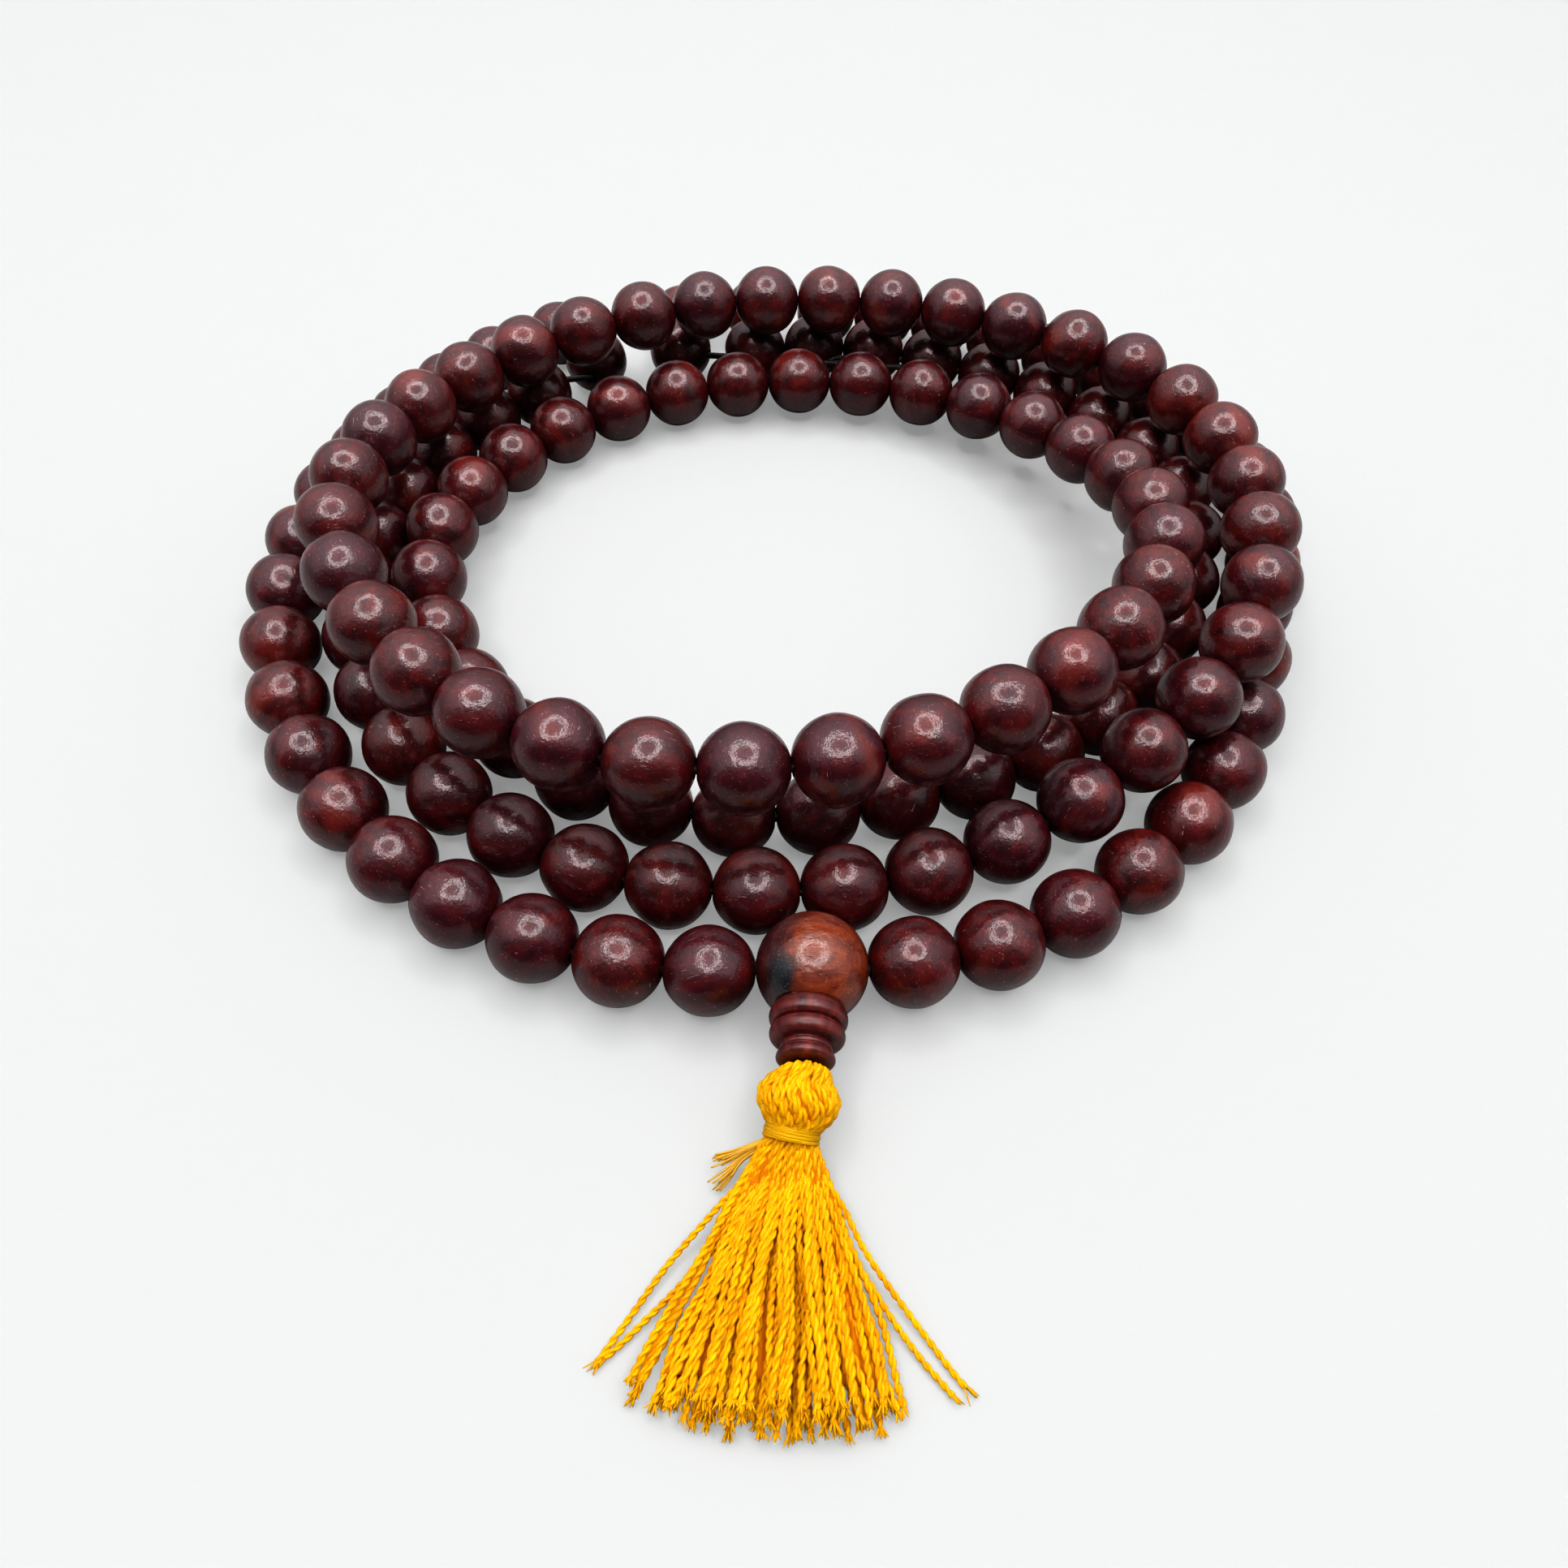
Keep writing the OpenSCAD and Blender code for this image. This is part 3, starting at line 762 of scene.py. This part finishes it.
# The binding: fine smooth thread wound close round the neck
band = Tubes()
WRAPS = 9
WRAP_R = 0.135
for w in range(WRAPS):
    z0 = HEAD_LEN + 0.14 + (BAND_LEN - 0.28) * w / (WRAPS - 1)
    tilt = rng.uniform(-0.07, 0.07)
    phase = rng.uniform(0, 6.28)
    path = []
    for i in range(65):
        a = 2 * math.pi * i / 64
        r = 2.22 + 0.03 * math.sin(a * 2 + phase)
        path.append(head_point(r * math.cos(a), r * math.sin(a), z0 + tilt * math.sin(a + phase)))
    frames = carried_frames(path)
    band.tube(path, frames, [WRAP_R * MM] * len(path), 8, [i * 0.21 for i in range(len(path))])
band.make("binding_wraps", BAND, "tassel", "tassel_thread", ("tassel_binding",))

# The skirt: threads fan out from the binding and settle on the surface
SKIRT_THREADS = 104
SKIRT_LONG = 19.9
LOWEST = 0.33
SKIRT_AT = KNOT_AT + HEAD_AXIS * (SKIRT_FROM - 0.5) * MM


def skirt_path(x, u, rng):
    """One thread of the skirt; x goes from -1 to 1 across, u from 0 (lowest) to 1 (top)."""
    half = math.sqrt(max(0.0, 1 - x * x))
    start = head_point(1.8 * x, 1.8 * half * (2 * u - 1), SKIRT_FROM - 0.5)
    start_across = (start - SKIRT_AT).dot(SKIRT_SIDE) / MM
    start_ahead = (start - KNOT_AT).dot(SKIRT_AXIS) / MM
    fan = math.radians(24.0 * x - 1.8) + rng.uniform(-0.06, 0.06)
    crown = 3.1 * (1 - 0.72 * x * x) ** 0.8
    end_height = 0.34 + crown * (0.05 + 0.95 * u) * rng.uniform(0.70, 1.0)
    long = SKIRT_LONG * (1 + 0.05 * max(0.0, -x)) + rng.uniform(-0.9, 0.5)
    wave = rng.uniform(0.08, 0.42)
    turns = rng.uniform(0.9, 2.3)
    phase = rng.uniform(0, 6.28)
    points = []
    for i in range(19):
        t = i / 18
        s = long * t
        bow = 0.35 * math.sin(math.pi * t) * x
        centre = (SKIRT_AT - KNOT_AT).dot(SKIRT_SIDE) / MM
        across = centre + start_across + s * math.sin(fan) + bow
        settled = math.sin(math.pi * min(1.0, 1.6 * t) / 2)
        across += wave * settled * math.sin(phase + turns * 6.28 * t)
        fall = 1 - (1 - t) ** 3.2
        belly = 0.9 * math.sin(math.pi * t ** 0.8) * (0.1 + 0.9 * u) * half
        z = (start.z / MM) * (1 - fall) + end_height * fall + belly
        z += 0.5 * wave * t * math.cos(phase * 1.7 + turns * 5.0 * t)
        points.append(flat_point(across, start_ahead + s * math.cos(fan), max(z, LOWEST)))
    return points


def skirt_spots(count):
    """Thread places across the neck, evenly spread."""
    spots = []
    golden = math.pi * (3 - math.sqrt(5))
    for i in range(count):
        r = ((i + 0.5) / count) ** 0.42
        a = i * golden
        x = r * math.cos(a)
        half = math.sqrt(max(1e-4, 1 - x * x))
        u = 0.5 + 0.5 * (r * math.sin(a)) / half
        spots.append((x, min(1.0, max(0.0, u))))
    return spots


spots = skirt_spots(SKIRT_THREADS)
spots.sort(key=lambda s: s[1])
GROUPS = 4
for g in range(GROUPS):
    part = spots[g * len(spots) // GROUPS:(g + 1) * len(spots) // GROUPS]
    layer = Tubes()
    for x, u in part:
        path = catmull(skirt_path(x, u, rng), 3)
        end, direction = layer.thread(path, rng, ply_r=rng.uniform(0.165, 0.2), lay_r=0.14,
                                      pitch=rng.uniform(1.7, 2.3))
        layer.tuft(end, direction, rng, fibres=12, length=0.9, spread=0.5, r=0.095)
    layer.make("skirt_layer_%d" % (g + 1), THREAD, "tassel", "tassel_thread", ("tassel_skirt",))

# The middle of the bundle is one body, ridged like threads where it shows from below, darker in colour as painted
# shade
fill_verts, fill_faces = [], []
FILL_ROWS, FILL_SIDES = 40, 300
FILL_RIDGES = 46
FILL_LONG = 17.6
start_ahead = (SKIRT_AT - KNOT_AT).dot(SKIRT_AXIS) / MM
start_across = (SKIRT_AT - KNOT_AT).dot(SKIRT_SIDE) / MM
for i in range(FILL_ROWS + 1):
    t = i / FILL_ROWS
    half = 1.6 + 6.4 * t ** 0.9
    middle = start_across - 0.5 * t
    low = 1.0 + (SKIRT_AT.z / MM - 2.0) * max(0.0, 1 - 2.2 * t)
    top = 1.4 + (SKIRT_AT.z / MM - 0.1) * (1 - t) ** 2.2
    for k in range(FILL_SIDES):
        a = 2 * math.pi * k / FILL_SIDES
        ripple = 1 + 0.03 * math.sin(9 * a + 3 * t)
        ridge = 0.14 * math.sin(FILL_RIDGES * a + 5 * math.sin(2.3 * t))
        ridge *= min(1.0, 4 * t + 0.3)
        z = (low + top) / 2 + ((top - low) / 2 + ridge) * math.sin(a)
        fill_verts.append(flat_point(middle + half * math.cos(a) * ripple,
                                     start_ahead + FILL_LONG * t, z))
for i in range(FILL_ROWS):
    for k in range(FILL_SIDES):
        p, q = i * FILL_SIDES + k, i * FILL_SIDES + (k + 1) % FILL_SIDES
        fill_faces.append((p, q, q + FILL_SIDES, p + FILL_SIDES))
fill_faces.append(tuple(reversed(range(FILL_SIDES))))
fill_faces.append(tuple(FILL_ROWS * FILL_SIDES + k for k in range(FILL_SIDES)))
add("skirt_core", fill_verts, fill_faces, CORE_PAINTED_SHADE, "tassel", ("tassel_skirt",),
    uvs=[(v.x / MM * 6, v.y / MM) for v in fill_verts])

# Loose threads beside the skirt, as (across, ahead, height) in millimetres
STRAYS = {
    "stray_thread_left_outer": [
        (-2.6, 6.6, 2.6), (-5.4, 9.3, 2.0), (-7.4, 11.6, 1.4), (-9.9, 14.7, 0.8),
        (-11.7, 17.5, 0.5), (-13.4, 20.2, 0.4), (-14.3, 21.6, 0.35)],
    "stray_thread_left_inner": [
        (-5.6, 12.6, 1.5), (-7.5, 14.6, 1.1), (-9.0, 16.4, 0.8), (-11.1, 18.6, 0.5),
        (-12.6, 20.2, 0.4), (-13.8, 21.3, 0.35)],
    "stray_thread_right_outer": [
        (0.9, 6.6, 3.0), (3.3, 9.4, 2.4), (5.1, 12.4, 1.7), (6.8, 14.6, 1.2),
        (8.8, 16.9, 0.7), (10.9, 19.3, 0.4), (12.3, 20.9, 0.35), (13.1, 21.7, 0.35)],
    "stray_thread_right_inner": [
        (4.6, 13.4, 1.4), (6.3, 15.7, 1.0), (7.8, 17.7, 0.7), (9.8, 20.0, 0.4),
        (11.2, 21.4, 0.35), (12.1, 22.3, 0.35)],
}
for name, route in STRAYS.items():
    stray = Tubes()
    path = catmull([flat_point(*p) for p in route], 8)
    end, direction = stray.thread(path, rng, ply_r=0.165, lay_r=0.125, pitch=1.7)
    stray.tuft(end, direction, rng, fibres=9, length=1.2, spread=0.34, r=0.075)
    stray.make(name.replace("stray_thread", "loose"), THREAD, "tassel", "tassel_thread", (name,))

# The two ends of the binding thread, each a bunch of fine fibres
TAIL_FIBRES = 16
TAILS = {
    "binding_tail_long": [
        (-1.9, 5.0, 3.5), (-2.8, 5.2, 3.0), (-4.3, 5.7, 2.4), (-5.7, 6.2, 1.8), (-7.3, 6.8, 1.4)],
    "binding_tail_short": [
        (-2.2, 5.0, 3.1), (-3.3, 5.5, 2.5), (-4.7, 6.3, 1.8), (-5.7, 7.3, 1.2), (-6.9, 8.4, 0.8)],
}
for name, route in TAILS.items():
    tail = Tubes()
    base = catmull([flat_point(*p) for p in route], 6)
    for f in range(TAIL_FIBRES):
        spread = Vector((rng.uniform(-1, 1), rng.uniform(-1, 1), rng.uniform(-0.6, 0.7)))
        cut = len(base) - rng.randint(0, 5)
        path = []
        for i, p in enumerate(base[:cut]):
            t = i / (len(base) - 1)
            q = p + spread * MM * (0.17 + 0.34 * smoothstep(0.45, 1.0, t) ** 1.3)
            q.z = max(q.z, 0.11 * MM)
            path.append(q)
        frames = carried_frames(path)
        radii = [MM * 0.14 * (1 - 0.5 * i / len(path)) for i in range(len(path))]
        tail.tube(path, frames, radii, 5, [i * 0.3 + f for i in range(len(path))])
    tail.make(name.replace("binding_tail", "tail"), TAIL, "tassel", "tassel_thread", (name,))

# ---------------------------------------------------------------- CAD pieces that stay in view
for name in ("cord_ends", "end_knot"):
    obj = frame["nodes"][name]
    obj.data.materials.clear()
    obj.data.materials.append(CORD)

# ---------------------------------------------------------------- floor, light and surroundings
FLOOR_HALF = 6
n = Nodes("pale_floor")
# The floor bounces less light up at the beads than it shows to the viewer
rays = n.node("ShaderNodeLightPath")
mirrored = n.math("MULTIPLY", rays.outputs["Is Glossy Ray"], 0.9)
shown = n.math("ADD", rays.outputs["Is Camera Ray"], mirrored, clamp=True)
n.set(Base_Color=n.mix(shown, (0.085, 0.088, 0.095), (0.325, 0.327, 0.324)), Roughness=0.9,
      Emission_Color=(0.985, 1.0, 0.995, 1.0),
      Emission_Strength=n.math("MULTIPLY", rays.outputs["Is Camera Ray"], 0.222))
n.shader.inputs["Specular IOR Level"].default_value = 0.1
corners = [(x * FLOOR_HALF, y * FLOOR_HALF, 0) for x, y in ((-1, -1), (1, -1), (1, 1), (-1, 1))]
floor = new_object("floor", corners, [(0, 1, 2, 3)], n.material)

# A ring lamp hangs overhead
RING_UP = 0.60
RING_R = 0.265
RING_TUBE = 34
RING_POWER = 9.6
ring_profile = [(RING_R / MM + RING_TUBE * math.cos(a), RING_TUBE * math.sin(a))
                for a in [2 * math.pi * k / 12 for k in range(12)]]
lamp_mat = bpy.data.materials.new("lamp")
lamp_mat.use_nodes = True
lamp_nodes = lamp_mat.node_tree
lamp_nodes.nodes.clear()
glow = lamp_nodes.nodes.new("ShaderNodeEmission")
glow.inputs["Strength"].default_value = RING_POWER
out = lamp_nodes.nodes.new("ShaderNodeOutputMaterial")
lamp_nodes.links.new(glow.outputs[0], out.inputs[0])
lamp = new_object("ring_lamp", *revolve(ring_profile, 64), lamp_mat)
lamp.matrix_world = Matrix.Translation((0, 0.02, RING_UP))
lamp.visible_camera = False

# Pale room all round, darker where the viewer stands and near the horizon
world = bpy.data.worlds.new("room")
bpy.context.scene.world = world
world.use_nodes = True
tree = world.node_tree
back = tree.nodes["Background"]
coord = tree.nodes.new("ShaderNodeTexCoord")
split = tree.nodes.new("ShaderNodeSeparateXYZ")
tree.links.new(coord.outputs["Generated"], split.inputs[0])


def fade(axis, start, end, least):
    """Strength of the room that rises along one direction from least to 1."""
    node = tree.nodes.new("ShaderNodeMapRange")
    node.interpolation_type = "SMOOTHSTEP"
    node.inputs["From Min"].default_value = start
    node.inputs["From Max"].default_value = end
    node.inputs["To Min"].default_value = least
    node.inputs["To Max"].default_value = 1.0
    tree.links.new(split.outputs[axis], node.inputs["Value"])
    return node


front = fade("Y", -0.62, -0.22, 0.10)
high = fade("Z", 0.05, 0.75, 0.30)
both = tree.nodes.new("ShaderNodeMath")
both.operation = "MULTIPLY"
tree.links.new(front.outputs[0], both.inputs[0])
tree.links.new(high.outputs[0], both.inputs[1])
path_node = tree.nodes.new("ShaderNodeLightPath")
seen = tree.nodes.new("ShaderNodeMix")
seen.data_type = "FLOAT"
tree.links.new(path_node.outputs["Is Camera Ray"], seen.inputs[0])
tree.links.new(both.outputs[0], seen.inputs[2])
seen.inputs[3].default_value = 0.92
tree.links.new(seen.outputs[0], back.inputs["Strength"])
back.inputs["Color"].default_value = (0.97, 0.985, 1.0, 1.0)

view = bpy.context.scene.view_settings
view.view_transform = "Standard"
view.look = "High Contrast"
